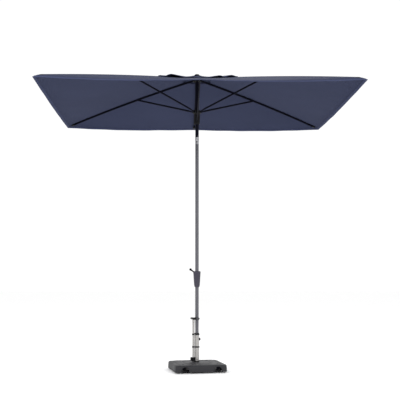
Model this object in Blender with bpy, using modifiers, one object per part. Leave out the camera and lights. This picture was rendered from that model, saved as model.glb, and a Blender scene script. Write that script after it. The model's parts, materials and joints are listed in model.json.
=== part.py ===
"""Patio umbrella with a rolling base: crank mast, tilt joint, six folding ribs and a rectangular canopy.

Metres, +Z up. The origin is on the ground on the mast's axis, and the canopy's long side lies along X.
"""

from math import asin, atan2, cos, degrees, exp, hypot, pi, radians, sin

import bmesh
import bpy
from mathutils import Matrix, Vector

OBJECT = "patio_umbrella_with_base"
GAP = 0.0003
SIDES = 16
FINE_SIDES = 24

# Canopy and fold linkage. Each rib turns on a hub pivot, and each strut on a pivot under its rib.
CANOPY_HALF_X = 1.25
CANOPY_HALF_Y = 1.00
HUB_Z = 2.500
RUNNER_Z = 2.2140
RUNNER_MID_Z = 2.1330
PIVOT_R = 0.027
CORNER_TIP_Z = 2.2660
CORNER_BOW = 0.056
CORNER_PIVOT_R = 0.696
CORNER_CLOSED = radians(85.3)
MID_CLOSED = radians(85.1)
STRUT_R = 0.0050
STRUT_END = 0.0032
STRUT_DEPTH = 0.0105
LUG_HALF = 0.0085
TRACK_HALF = 0.0043
TUBE_WALL = 0.0008
CHANNEL_INNER = STRUT_R + GAP
CHANNEL_OUTER = 0.0061
CHANNEL_TOP = 0.0070
CHANNEL_FOOT = -0.0062
RIB_SHARE = 0.963
VENT_SHARE = 0.080
TIP_CAP = 0.0115
RIB_PIN_R = 0.002
RING_WIRE_R = 0.0012
RING_HOLE_R = 0.0023
RIB_END = 0.004
MID_TIP_Z = 2.2400
FABRIC_RISE = 0.0092
FABRIC = 0.0012
CORNER_HEM_DROP = 0.0155
MID_HEM_DROP = 0.0010

# Mast
MAST_R = 0.015
MAST_BORE = 0.0136
MAST_FOOT = 0.040
TILT_Z = 1.965
TILT_SOCKET_R = 0.0165
TILT_SOCKET_FOOT = 1.932
TILT_PIN_R = 0.003
BUTTON_Z = 1.9403
MAST_TOP = 2.5085
PULLEY_Z = 2.4515
PULLEY_R = 0.00975
CORD_R = 0.0010
CORD_Y = 0.007

# Crank
CRANK_Z = 0.807
CRANK_SHAFT_R = 0.004
CRANK_KNOB_AT = (-0.053, 0.850)
HOUSING_FOOT = 0.700
HOUSING_TOP = 0.835
HOUSING_WALL = 0.0025

# Base, turned on the ground against the canopy
BASE_YAW = radians(9.09)
BASE_HALF = 0.217
BASE_FOOT = 0.010
SHELL_WALL = 0.0035
SOCKET_R = 0.019
SOCKET_BORE = 0.0178
SOCKET_TOP = 0.310
SHELL_TOP = 0.0725
HANDLE_R = 0.0095
HANDLE_X = -0.0305
HANDLE_FOOT = 0.0850
HANDLE_TOP = 0.4268
STEM_AT = (0.155, 0.165)
TRAIL = 0.018
WHEEL_R = 0.025
WHEEL_HALF_WIDTH = 0.0085
AXLE_R = 0.003
FORK_TOP = 0.0535
WELL_TOP = 0.0545
WELL_R = 0.050
BALLAST_TOP = 0.0615
BALLAST_FOOT = 0.034
BALLAST_HALF = 0.2040
STEM_R = 0.005
STUD_R = 0.004
STUD_CIRCLE = 0.040

ANTHRACITE = ((0.16, 0.16, 0.18), 0.45, 0.6)
NEAR_BLACK = ((0.03, 0.03, 0.035), 0.5, 0.3)
BLACK_PLASTIC = ((0.02, 0.02, 0.022), 0.55, 0.0)
HOUSING_GREY = ((0.075, 0.07, 0.10), 0.5, 0.0)
BASE_GREY = ((0.06, 0.06, 0.065), 0.6, 0.0)
STAINLESS = ((0.60, 0.59, 0.58), 0.28, 1.0)
CHROME = ((0.75, 0.75, 0.76), 0.18, 1.0)
CAST = ((0.09, 0.09, 0.09), 0.8, 0.4)
TYRE = ((0.025, 0.025, 0.028), 0.8, 0.0)
STEEL = ((0.45, 0.45, 0.46), 0.35, 1.0)
CORD = ((0.10, 0.10, 0.11), 0.8, 0.0)
SLATE_FABRIC = ((0.055, 0.06, 0.09), 0.9, 0.0)

for old in list(bpy.data.objects):
    bpy.data.objects.remove(old, do_unlink=True)
parts = bpy.data.collections.new(OBJECT)
bpy.context.scene.collection.children.link(parts)


# ---- Solids: each function returns a working object, and combine() joins or cuts them ----


def working(name, mesh):
    """An unfinished solid in the scene, so that modifiers on it can be evaluated."""
    obj = bpy.data.objects.new(name, mesh)
    parts.objects.link(obj)
    return obj


def baked(obj):
    """The object's evaluated mesh, on a new working object. The old one is removed."""
    bpy.context.view_layer.update()
    graph = bpy.context.evaluated_depsgraph_get()
    mesh = bpy.data.meshes.new_from_object(obj.evaluated_get(graph))
    mesh.transform(obj.matrix_world)
    bpy.data.objects.remove(obj, do_unlink=True)
    return working("work", mesh)


def primitive(make, matrix=None):
    bm = bmesh.new()
    make(bm)
    if matrix is not None:
        bm.transform(matrix)
    mesh = bpy.data.meshes.new("work")
    bm.to_mesh(mesh)
    bm.free()
    return working("work", mesh)


def box(low, high):
    """A box between two corners."""
    low, high = Vector(low), Vector(high)
    matrix = Matrix.Translation((low + high) / 2) @ Matrix.Diagonal((*(high - low), 1))
    return primitive(lambda bm: bmesh.ops.create_cube(bm, size=1.0), matrix)


AXES = {
    "X": Matrix.Rotation(pi / 2, 4, "Y"),
    "Y": Matrix.Rotation(-pi / 2, 4, "X"),
    "Z": Matrix.Identity(4),
}


def cylinder(radius, low, high, axis="Z", at=(0, 0, 0), top_radius=None, sides=SIDES):
    """A cylinder or cone from low to high along an axis through the point at."""
    matrix = Matrix.Translation(at) @ AXES[axis] @ Matrix.Translation((0, 0, (low + high) / 2))

    def make(bm):
        bmesh.ops.create_cone(
            bm,
            cap_ends=True,
            segments=sides,
            radius1=radius,
            radius2=radius if top_radius is None else top_radius,
            depth=high - low,
        )

    return primitive(make, matrix)


def turned(profile, ring=False, axis="Z", at=(0, 0, 0), sides=SIDES):
    """A Screw solid. The profile's (radius, height) points run down its outer side, and a ring's close."""
    mesh = bpy.data.meshes.new("profile")
    points = [(r, 0, z) for r, z in profile]
    edges = [(i, i + 1) for i in range(len(points) - 1)]
    if ring:
        edges.append((len(points) - 1, 0))
    mesh.from_pydata(points, edges, [])
    obj = working("work", mesh)
    screw = obj.modifiers.new("turn", "SCREW")
    screw.steps = screw.render_steps = sides
    screw.use_merge_vertices = True
    screw.merge_threshold = 0.00001
    obj.matrix_world = Matrix.Translation(at) @ AXES[axis]
    return baked(obj)


def tube(outer, inner, low, high, axis="Z", at=(0, 0, 0), sides=SIDES):
    profile = [(outer, high), (outer, low), (inner, low), (inner, high)]
    return turned(profile, ring=True, axis=axis, at=at, sides=sides)


def loft(rings, open_first=False):
    """A solid through rings of points, each counter-clockwise seen from the last ring's side."""
    bm = bmesh.new()
    loops = [[bm.verts.new(spot) for spot in ring] for ring in rings]
    count = len(loops[0])
    for near, far in zip(loops, loops[1:]):
        for i in range(count):
            j = (i + 1) % count
            bm.faces.new((near[i], near[j], far[j], far[i]))
    bm.faces.new(loops[-1])
    if not open_first:
        bm.faces.new(loops[0][::-1])
    mesh = bpy.data.meshes.new("work")
    bm.to_mesh(mesh)
    bm.free()
    return working("work", mesh)


def bent(points, radius):
    """A round bar along a line of points."""
    curve = bpy.data.curves.new("line", "CURVE")
    curve.dimensions = "3D"
    curve.bevel_depth = radius
    curve.bevel_resolution = 2
    curve.use_fill_caps = True
    spline = curve.splines.new("POLY")
    spline.points.add(len(points) - 1)
    for spot, point in zip(spline.points, points):
        spot.co = (*point, 1)
    obj = baked(working("work", curve))
    bm = bmesh.new()
    bm.from_mesh(obj.data)
    bmesh.ops.remove_doubles(bm, verts=bm.verts, dist=0.00001)
    bm.to_mesh(obj.data)
    bm.free()
    return obj


def outline(points, low, high, axis="Z"):
    """A flat outline extruded from low to high. For X the outline is (y, z), for Y (x, z), for Z (x, y)."""
    curve = bpy.data.curves.new("outline", "CURVE")
    curve.dimensions = "2D"
    curve.fill_mode = "BOTH"
    curve.extrude = (high - low) / 2
    spline = curve.splines.new("POLY")
    spline.points.add(len(points) - 1)
    for spot, point in zip(spline.points, points):
        spot.co = (point[0], point[1], 0, 1)
    spline.use_cyclic_u = True
    obj = working("work", curve)
    turn = {
        "X": Matrix(((0, 0, 1, 0), (1, 0, 0, 0), (0, 1, 0, 0), (0, 0, 0, 1))),
        "Y": Matrix(((1, 0, 0, 0), (0, 0, -1, 0), (0, 1, 0, 0), (0, 0, 0, 1))),
        "Z": Matrix.Identity(4),
    }[axis]
    middle = (low + high) / 2
    shift = Vector((0, 0, -middle if axis == "Y" else middle))
    obj.matrix_world = turn @ Matrix.Translation(shift)
    obj = baked(obj)
    bm = bmesh.new()
    bm.from_mesh(obj.data)
    bmesh.ops.remove_doubles(bm, verts=bm.verts, dist=0.00001)
    bmesh.ops.recalc_face_normals(bm, faces=bm.faces)
    bm.to_mesh(obj.data)
    bm.free()
    return obj


def arc(centre, radius, start, end, count=12):
    """Points on a circle from start to end, in degrees."""
    angles = [radians(start + (end - start) * i / count) for i in range(count + 1)]
    return [(centre[0] + radius * cos(a), centre[1] + radius * sin(a)) for a in angles]


def combine(first, *steps):
    """Apply (operation, other) Booleans in turn, and remove the others."""
    for operation, other in steps:
        boolean = first.modifiers.new("shape", "BOOLEAN")
        boolean.operation = operation
        boolean.solver = "EXACT"
        boolean.object = other
        first = baked(first)
        bpy.data.objects.remove(other, do_unlink=True)
    return first


def cut(first, *others):
    return combine(first, *(("DIFFERENCE", other) for other in others))


def join(first, *others):
    return combine(first, *(("UNION", other) for other in others))


def rounded(obj, width, segments=2, angle=50):
    """Bevel the edges that are sharper than an angle."""
    bevel = obj.modifiers.new("round", "BEVEL")
    bevel.width = width
    bevel.segments = segments
    bevel.limit_method = "ANGLE"
    bevel.angle_limit = radians(angle)
    bevel.harden_normals = False
    return baked(obj)


# ---- Frames and nodes ----


def frame(name, location, rotation=(0, 0, 0), parent=None):
    empty = bpy.data.objects.new(name, None)
    parts.objects.link(empty)
    empty.location = location
    empty.rotation_euler = rotation
    empty.parent = parent
    return empty


def node(name, solid, finish, parent=None, location=(0, 0, 0), rotation=(0, 0, 0)):
    """Turn a working solid, or a mesh, into a named part under its frame."""
    mesh = solid if isinstance(solid, bpy.types.Mesh) else solid.data
    if mesh is not solid:
        bpy.data.objects.remove(solid, do_unlink=True)
    mesh.name = name
    colour, roughness, metallic = finish
    material = bpy.data.materials.new(name)
    material.use_nodes = True
    shader = material.node_tree.nodes["Principled BSDF"]
    shader.inputs["Base Color"].default_value = (*colour, 1)
    shader.inputs["Roughness"].default_value = roughness
    shader.inputs["Metallic"].default_value = metallic
    obj = bpy.data.objects.new(name, mesh)
    parts.objects.link(obj)
    mesh.shade_smooth()
    mesh.set_sharp_from_angle(angle=radians(35))
    if not mesh.materials:
        mesh.materials.append(None)
    obj.material_slots[0].link = "OBJECT"
    obj.material_slots[0].material = material
    obj.location = location
    obj.rotation_euler = rotation
    obj.parent = parent
    return obj


# ---- Linkage geometry ----


CORNER_REACH = hypot(CANOPY_HALF_X, CANOPY_HALF_Y)


def bowed_height(r, reach, tip_z, bow):
    """Height of a bowed rib's axis: a gentle parabola between its hub pivot and the canopy's edge."""
    x = (r - PIVOT_R) / (reach - PIVOT_R)
    return HUB_Z - (HUB_Z - tip_z) * x + bow * x * (1 - x)


def corner_rib_height(r):
    return bowed_height(r, CORNER_REACH, CORNER_TIP_Z, CORNER_BOW)


def corner_linkage():
    """A corner rib's strut pivot (r, z), its arm from the hub, and its strut's slope and length."""
    r, z = CORNER_PIVOT_R, corner_rib_height(CORNER_PIVOT_R)
    arm = hypot(HUB_Z - z, r - PIVOT_R)
    return r, z, arm, atan2(z - RUNNER_Z, r - PIVOT_R), hypot(z - RUNNER_Z, r - PIVOT_R)


def mid_linkage():
    """The same for a mid rib. Its two arms are equal and give the runner the same travel."""
    travel = (CORNER_ARM + CORNER_STRUT) * sin(CORNER_CLOSED) - (HUB_Z - RUNNER_Z)
    arm = (travel + HUB_Z - RUNNER_MID_Z) / 2 / sin(MID_CLOSED)
    slope = asin((HUB_Z - RUNNER_MID_Z) / 2 / arm)
    return PIVOT_R + arm * cos(slope), (HUB_Z + RUNNER_MID_Z) / 2, slope, arm


CORNER_AZIMUTH = degrees(atan2(CANOPY_HALF_Y, CANOPY_HALF_X))
RIBS = {
    "near_mid": -90.0,
    "near_right": -CORNER_AZIMUTH,
    "far_right": CORNER_AZIMUTH,
    "far_mid": 90.0,
    "far_left": 180 - CORNER_AZIMUTH,
    "near_left": 180 + CORNER_AZIMUTH,
}
CORNER_R, CORNER_Z, CORNER_ARM, CORNER_STRUT_SLOPE, CORNER_STRUT = corner_linkage()
MID_R, MID_Z, MID_STRUT_SLOPE, MID_STRUT = mid_linkage()
CORNER_SLOPE = atan2(HUB_Z - CORNER_Z, CORNER_R - PIVOT_R)
MID_SLOPE = atan2(HUB_Z - MID_Z, MID_R - PIVOT_R)
MID_PIVOT_SHARE = (MID_R - PIVOT_R) / (CANOPY_HALF_Y - PIVOT_R)
MID_DROP_THERE = (HUB_Z - MID_TIP_Z) * MID_PIVOT_SHARE
MID_BOW = (MID_Z - HUB_Z + MID_DROP_THERE) / (MID_PIVOT_SHARE * (1 - MID_PIVOT_SHARE))


def mid_rib_height(r):
    return bowed_height(r, CANOPY_HALF_Y, MID_TIP_Z, MID_BOW)


# ---- Base ----

base = frame("base_frame", (0, 0, 0), (0, 0, BASE_YAW))


def rounded_square(half, corner, steps=3):
    """Points of a square with round corners, counter-clockwise from above."""
    spots = []
    for quarter, (sx, sy) in enumerate(((1, 1), (-1, 1), (-1, -1), (1, -1))):
        centre = (sx * (half - corner), sy * (half - corner))
        spots += arc(centre, corner, 90 * quarter, 90 * quarter + 90, steps)
    return spots


def base_shell():
    """Low domed cover, open below, with a wheel arch at each end of its near and far sides."""
    rings = (
        (BASE_HALF, 0.030, BASE_FOOT),
        (BASE_HALF - 0.001, 0.030, 0.045),
        (BASE_HALF - 0.003, 0.030, 0.060),
        (BASE_HALF - 0.009, 0.030, 0.0660),
        (BASE_HALF - 0.030, 0.034, 0.0680),
        (BASE_HALF - 0.090, 0.045, 0.0705),
        (BASE_HALF - 0.150, 0.045, SHELL_TOP),
    )
    outlines = []
    for half, corner, z in rings:
        outlines.append([(x, y, z) for x, y in rounded_square(half, corner)])
    shell = loft(outlines, open_first=True)
    wall = shell.modifiers.new("wall", "SOLIDIFY")
    wall.thickness = SHELL_WALL
    wall.offset = -1
    wall.use_even_offset = True
    shell = baked(shell)
    arches = []
    for side in (-1, 1):
        for end in (-1, 1):
            at = (end * (STEM_AT[0] - TRAIL), 0, 0.022)
            low, high = sorted((side * (BASE_HALF - 0.02), side * (BASE_HALF + 0.01)))
            arches.append(cylinder(0.031, low, high, axis="Y", at=at, sides=FINE_SIDES))
    tube_hole = cylinder(SOCKET_R + 0.0006, 0.06, 0.09, sides=FINE_SIDES)
    return cut(shell, *arches, tube_hole)


def stud_spots():
    angles = [radians(angle) for angle in range(45, 360, 90)]
    return [(STUD_CIRCLE * cos(angle), STUD_CIRCLE * sin(angle)) for angle in angles]


def base_ballast():
    """Cast slab under the cover, with a round well over each castor."""
    slab = outline(rounded_square(BALLAST_HALF, 0.026), BALLAST_FOOT, BALLAST_TOP)
    cutters = [cylinder(SOCKET_R + 0.0006, 0.03, 0.07, sides=FINE_SIDES)]
    for x in (-STEM_AT[0], STEM_AT[0]):
        for y in (-STEM_AT[1], STEM_AT[1]):
            cutters.append(cylinder(WELL_R, 0.02, WELL_TOP, at=(x, y, 0), sides=FINE_SIDES))
            cutters.append(cylinder(STEM_R + 0.0003, 0.05, 0.07, at=(x, y, 0)))
    for x, y in stud_spots():
        cutters.append(cylinder(STUD_R + 0.0004, 0.03, 0.07, at=(x, y, 0), sides=12))
    return cut(slab, *cutters)


def socket_flange():
    """Steel plate under the slab, with four studs up through it and a nut on each."""
    plate = cylinder(0.055, 0.0290, BALLAST_FOOT - GAP, sides=FINE_SIDES)
    studs = []
    for x, y in stud_spots():
        studs.append(cylinder(STUD_R, 0.030, BALLAST_TOP + 0.0040, at=(x, y, 0), sides=12))
        nut_foot = BALLAST_TOP + GAP
        studs.append(cylinder(STUD_R * 1.8, nut_foot, nut_foot + 0.0030, at=(x, y, 0), sides=6))
    return join(plate, *studs)


def strap(low, high, collar_bore):
    """Black bracket that holds the handle tube against the socket tube."""
    body = cylinder(SOCKET_R + 0.0028, low, high, sides=FINE_SIDES)
    loop = cylinder(HANDLE_R + 0.0028, low, high, at=(HANDLE_X, 0, 0))
    web = box((HANDLE_X, -0.009, low), (0, 0.009, high))
    holes = (
        cylinder(collar_bore, low - 0.01, high + 0.01, sides=FINE_SIDES),
        cylinder(HANDLE_R + GAP, low - 0.01, high + 0.01, at=(HANDLE_X, 0, 0)),
    )
    return cut(join(body, loop, web), *holes)


def lobed_knob(radius, low, high, stud_radius, stud_low, lobes=5):
    """Hand knob with shallow finger lobes round its rim, and a stud, along +Z."""
    points = []
    for i in range(lobes * 5):
        angle = 2 * pi * i / (lobes * 5)
        points.append(
            (
                radius * (0.93 + 0.07 * cos(lobes * angle)) * cos(angle),
                radius * (0.93 + 0.07 * cos(lobes * angle)) * sin(angle),
            )
        )
    knob = rounded(outline(points, low, high), 0.0012, segments=1)
    return join(knob, cylinder(stud_radius, stud_low, low + 0.001, sides=12))


def build_base():
    node("base_shell", base_shell(), BASE_GREY, base)
    node("base_ballast", base_ballast(), CAST, base)
    node("socket_flange", socket_flange(), STEEL, base)
    socket = tube(SOCKET_R, SOCKET_BORE, BALLAST_FOOT, SOCKET_TOP, sides=FINE_SIDES)
    stud_hole = cylinder(0.0034, 0.010, 0.025, axis="X", at=(0, 0, 0.263), sides=16)
    node("socket_tube", cut(socket, stud_hole), STAINLESS, base)
    foot = tube(SOCKET_R + 0.0015, SOCKET_R + GAP, SHELL_TOP + 0.0007, SHELL_TOP + 0.0085, sides=FINE_SIDES)
    node("socket_foot_ring", foot, BLACK_PLASTIC, base)
    bush = turned(
        [
            (SOCKET_R + 0.0005, SOCKET_TOP + 0.0045),
            (SOCKET_R + 0.0005, SOCKET_TOP + GAP),
            (SOCKET_BORE - GAP, SOCKET_TOP + GAP),
            (SOCKET_BORE - GAP, 0.275),
            (MAST_R + 0.0003, 0.275),
            (MAST_R + 0.0003, SOCKET_TOP + 0.0045),
        ],
        ring=True,
        sides=FINE_SIDES,
    )
    node("socket_bush", bush, BLACK_PLASTIC, base)
    lower_bush = tube(SOCKET_BORE - GAP, MAST_R + 0.0003, 0.050, 0.075, sides=FINE_SIDES)
    node("socket_lower_bush", lower_bush, BLACK_PLASTIC, base)
    node("upper_strap", strap(0.2970, 0.3090, SOCKET_R + GAP), BLACK_PLASTIC, base)
    node("lower_strap", strap(0.1920, 0.2040, SOCKET_R + GAP), BLACK_PLASTIC, base)
    clamp = frame("clamp_knob_axis", (0, 0, 0.263), (0, pi / 2, 0), base)
    knob = lobed_knob(0.0120, SOCKET_R + 0.0010, SOCKET_R + 0.0100, 0.0030, MAST_R + 0.0004)
    node("mast_clamp_knob", knob, BLACK_PLASTIC, clamp)

    block = cylinder(0.0135, SHELL_TOP + 0.0035, 0.1120, at=(HANDLE_X, 0, 0))
    block = cut(
        rounded(block, 0.0015),
        cylinder(HANDLE_R + GAP, HANDLE_FOOT - GAP, 0.12, at=(HANDLE_X, 0, 0)),
        cylinder(0.0034, 0.0, 0.02, axis="X", at=(HANDLE_X - 0.020, 0, 0.0985), sides=16),
        cylinder(SOCKET_R + 0.0019, 0.07, 0.12, sides=FINE_SIDES),
    )
    node("handle_foot_clamp", block, BLACK_PLASTIC, base)
    lock = frame("lock_knob_axis", (HANDLE_X, 0, 0.0985), (0, -pi / 2, 0), base)
    knob = lobed_knob(0.0150, 0.0142, 0.0240, 0.0030, HANDLE_R + 0.0004)
    node("handle_lock_knob", knob, BLACK_PLASTIC, lock)

    handle = frame("handle_axis", (HANDLE_X, 0, 0), (0, 0, 0), base)
    rod = tube(HANDLE_R, HANDLE_R - 0.0012, HANDLE_FOOT, HANDLE_TOP)
    node("handle_tube", rod, STAINLESS, handle)
    grip = rounded(box((-0.0170, -0.055, 0.4272), (0.0145, 0.055, 0.4432)), 0.0065, segments=3)
    node("handle_grip", grip, BLACK_PLASTIC, handle)


def fork():
    """Castor fork with its stem and axle, the stem's axis on Z and the wheel trailing towards +X."""
    side = [
        (-0.012, FORK_TOP),
        (-0.012, 0.046),
        (TRAIL - 0.007, 0.021),
        (TRAIL - 0.004, 0.0185),
        (TRAIL + 0.004, 0.0185),
        (TRAIL + 0.007, 0.021),
        (TRAIL + 0.009, 0.046),
        (TRAIL + 0.009, FORK_TOP),
    ]
    half = WHEEL_HALF_WIDTH + 0.0025
    body = outline(side, -half, half, axis="Y")
    slot = box((-0.05, -WHEEL_HALF_WIDTH - 0.0005, 0), (0.05, WHEEL_HALF_WIDTH + 0.0005, 0.0510))
    body = rounded(cut(body, slot), 0.0004, segments=1)
    stem = cylinder(STEM_R, FORK_TOP - 0.001, BALLAST_TOP - 0.0005)
    axle = cylinder(AXLE_R, -half - 0.0005, half + 0.0005, axis="Y", at=(TRAIL, 0, WHEEL_R), sides=16)
    return join(body, stem, axle)


def castor_wheel():
    """Tyre and hub in one, its axis on Z: a rounded tread and a dished face on each side."""
    w = WHEEL_HALF_WIDTH
    bore = AXLE_R + 0.0003
    profile = [
        (bore, w),
        (0.0085, w),
        (0.0100, w - 0.0025),
        (0.0170, w - 0.0025),
        (0.0185, w - 0.0005),
        (0.0235, w - 0.0008),
        (WHEEL_R, 0.0),
    ]
    lower = [(r, -z) for r, z in reversed(profile[:-1])]
    return turned(profile + lower, ring=True, sides=FINE_SIDES)


def brake_lever():
    """Flat pedal that turns on the axle, outside the fork's cheek on its -Y side."""
    near = -WHEEL_HALF_WIDTH - 0.0033
    far = near - 0.0035
    disc = cylinder(0.0075, far, near, axis="Y")
    pedal = box((0.0, far, -0.0030), (0.0240, near, 0.0032))
    tread = box((0.0150, far - 0.0035, -0.0010), (0.0240, near, 0.0042))
    return join(disc, pedal, tread)


CASTORS = {
    "near_left": (-1, -1, 0, True),
    "near_right": (1, -1, pi, False),
    "far_left": (-1, 1, 0, False),
    "far_right": (1, 1, pi, True),
}


def build_castors():
    fork_mesh = fork().data
    wheel_mesh = castor_wheel().data
    lever_mesh = brake_lever().data
    for obj in list(parts.objects):
        if obj.data in (fork_mesh, wheel_mesh, lever_mesh):
            bpy.data.objects.remove(obj, do_unlink=True)
    for where, (sx, sy, yaw, braked) in CASTORS.items():
        stem = frame(f"castor_{where}", (sx * STEM_AT[0], sy * STEM_AT[1], 0), (0, 0, yaw), base)
        node(f"castor_fork_{where}", fork_mesh.copy(), NEAR_BLACK, stem)
        centre = (TRAIL, 0, WHEEL_R)
        node(f"castor_wheel_{where}", wheel_mesh.copy(), TYRE, stem, centre, (pi / 2, 0, 0))
        if braked:
            node(f"brake_lever_{where}", lever_mesh.copy(), BLACK_PLASTIC, stem, centre)


# ---- Lower mast, crank and tilt joint ----


def lower_mast():
    mast = tube(MAST_R, MAST_BORE, MAST_FOOT, TILT_SOCKET_FOOT - GAP, sides=FINE_SIDES)
    return cut(mast, box((-0.001, 0.005, 0.812), (0.012, 0.018, 0.831)))


def housing_solid(inset):
    """Tapered bucket shape of the crank housing, as a loft of round-cornered sections."""
    levels = (
        (HOUSING_FOOT, 0.0185, -0.0185, 0.0195, 0.012),
        (HOUSING_FOOT + 0.006, 0.0215, -0.0200, 0.0260, 0.014),
        (HOUSING_FOOT + 0.018, 0.0240, -0.0210, 0.0330, 0.015),
        (HOUSING_FOOT + 0.060, 0.0270, -0.0225, 0.0390, 0.016),
        (HOUSING_TOP - 0.012, 0.0308, -0.0235, 0.0410, 0.016),
        (HOUSING_TOP - 0.004, 0.0305, -0.0232, 0.0407, 0.016),
        (HOUSING_TOP, 0.0270, -0.0205, 0.0375, 0.013),
    )
    rings = []
    for k, (z, half, near, far, corner) in enumerate(levels):
        if k == 0:
            z += inset
        if k == len(levels) - 1:
            z -= inset
        half, near, far, corner = half - inset, near + inset, far - inset, corner - inset
        spots = []
        corners = ((half, far), (-half, far), (-half, near), (half, near))
        for quarter, (x, y) in enumerate(corners):
            centre = (x - corner * (1 if x > 0 else -1), y - corner * (1 if y > 0 else -1))
            spots += arc(centre, corner, 90 * quarter, 90 * quarter + 90, 4)
        rings.append([(x, y, z) for x, y in spots])
    return loft(rings)


SCREW_SPOTS = ((-0.0215, 0.822), (0.0215, 0.822), (-0.0190, 0.728), (0.0190, 0.728))


def housing_half(front):
    shell = cut(
        housing_solid(0),
        housing_solid(HOUSING_WALL),
        cylinder(MAST_R + GAP, 0.65, 0.90, sides=FINE_SIDES),
    )
    if front:
        return cut(shell, box((-0.1, 0, 0.6), (0.1, 0.1, 0.9)))
    shell = cut(
        shell,
        box((-0.1, -0.1, 0.6), (0.1, GAP, 0.9)),
        cylinder(CRANK_SHAFT_R + GAP, 0.03, 0.06, axis="Y", at=(0, 0, CRANK_Z)),
    )
    posts = []
    for x, z in SCREW_SPOTS:
        post = cylinder(0.0034, GAP, 0.0500, axis="Y", at=(x, 0, z), sides=12)
        posts.append(combine(post, ("INTERSECT", housing_solid(HOUSING_WALL / 2))))
    return join(shell, *posts)


def drum():
    profile = [
        (CRANK_SHAFT_R + GAP, 0.0345),
        (0.0115, 0.0345),
        (0.0115, 0.0325),
        (0.0090, 0.0325),
        (0.0090, 0.0205),
        (0.0115, 0.0205),
        (0.0115, 0.0185),
        (CRANK_SHAFT_R + GAP, 0.0185),
    ]
    return turned(profile, ring=True, axis="Y", at=(0, 0, CRANK_Z))


def crank_arm():
    """Flat bar from the shaft to the knob, with a round boss at each end."""
    x, z = CRANK_KNOB_AT
    near, far = 0.0425, 0.0470
    reach = hypot(x, z - CRANK_Z)
    ux, uz = x / reach, (z - CRANK_Z) / reach
    half = 0.0060
    bar = [
        (-uz * half, CRANK_Z + ux * half),
        (x - uz * half, z + ux * half),
        (x + uz * half, z - ux * half),
        (uz * half, CRANK_Z - ux * half),
    ]
    arm = join(
        outline(bar, near, far, axis="Y"),
        cylinder(0.0085, near - 0.0008, far + 0.0010, axis="Y", at=(0, 0, CRANK_Z)),
        cylinder(0.0070, near, far + 0.0008, axis="Y", at=(x, 0, z)),
        cylinder(0.0025, far, far + 0.0360, axis="Y", at=(x, 0, z), sides=16),
    )
    return cut(arm, cylinder(CRANK_SHAFT_R + GAP, 0.03, 0.06, axis="Y", at=(0, 0, CRANK_Z)))


def crank_knob():
    """Turned grip that spins on the arm's pin."""
    near = 0.0484
    profile = [
        (0.0028, near + 0.0350),
        (0.0070, near + 0.0345),
        (0.0100, near + 0.0310),
        (0.0108, near + 0.0250),
        (0.0095, near + 0.0120),
        (0.0085, near + 0.0050),
        (0.0090, near + 0.0012),
        (0.0080, near),
        (0.0028, near),
    ]
    return turned(profile, ring=True, axis="Y", at=(CRANK_KNOB_AT[0], 0, CRANK_KNOB_AT[1]))


def tilt_socket():
    """Silver clevis on the lower mast's top: a plug, a pin hole, a cord bore and a button well."""
    body = join(
        cylinder(TILT_SOCKET_R, TILT_SOCKET_FOOT, TILT_Z + 0.016, sides=FINE_SIDES),
        cylinder(MAST_BORE - GAP, TILT_SOCKET_FOOT - 0.030, TILT_SOCKET_FOOT + 0.001, sides=FINE_SIDES),
    )
    arch = [(0.020, 1.88), (0.020, TILT_Z - 0.002)]
    arch += arc((0, TILT_Z), 0.0160, 0, 180, 16)
    arch += [(-0.020, TILT_Z - 0.002), (-0.020, 1.88)]
    body = combine(body, ("INTERSECT", outline(arch, -0.03, 0.03, axis="X")))
    return cut(
        body,
        box((-0.0083, -0.03, TILT_Z - 0.016), (0.0083, 0.03, 2.0)),
        cylinder(TILT_PIN_R + GAP, -0.03, 0.03, axis="X", at=(0, 0, TILT_Z)),
        cylinder(0.0024, 1.89, 1.96, at=(0, CORD_Y, 0), sides=12),
        cylinder(0.0043, -0.030, -0.0075, axis="Y", at=(0, 0, BUTTON_Z)),
    )


def tilt_knuckle():
    """Tongue that turns in the clevis, with a shoulder and a plug for the upper mast."""
    tongue = [(0.0135, 1.984), (-0.0135, 1.984)]
    tongue += arc((0, TILT_Z), 0.0135, 180, 360, 16)
    body = join(
        outline(tongue, -0.0080, 0.0080, axis="X"),
        cylinder(0.0160, TILT_Z + 0.0175, TILT_Z + 0.0250, sides=FINE_SIDES),
        cylinder(MAST_BORE - GAP, TILT_Z + 0.0240, TILT_Z + 0.055, sides=FINE_SIDES),
    )
    return cut(
        body,
        cylinder(TILT_PIN_R + GAP, -0.03, 0.03, axis="X", at=(0, 0, TILT_Z)),
        cylinder(0.0024, 1.94, 2.04, at=(0, CORD_Y, 0), sides=12),
    )


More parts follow.
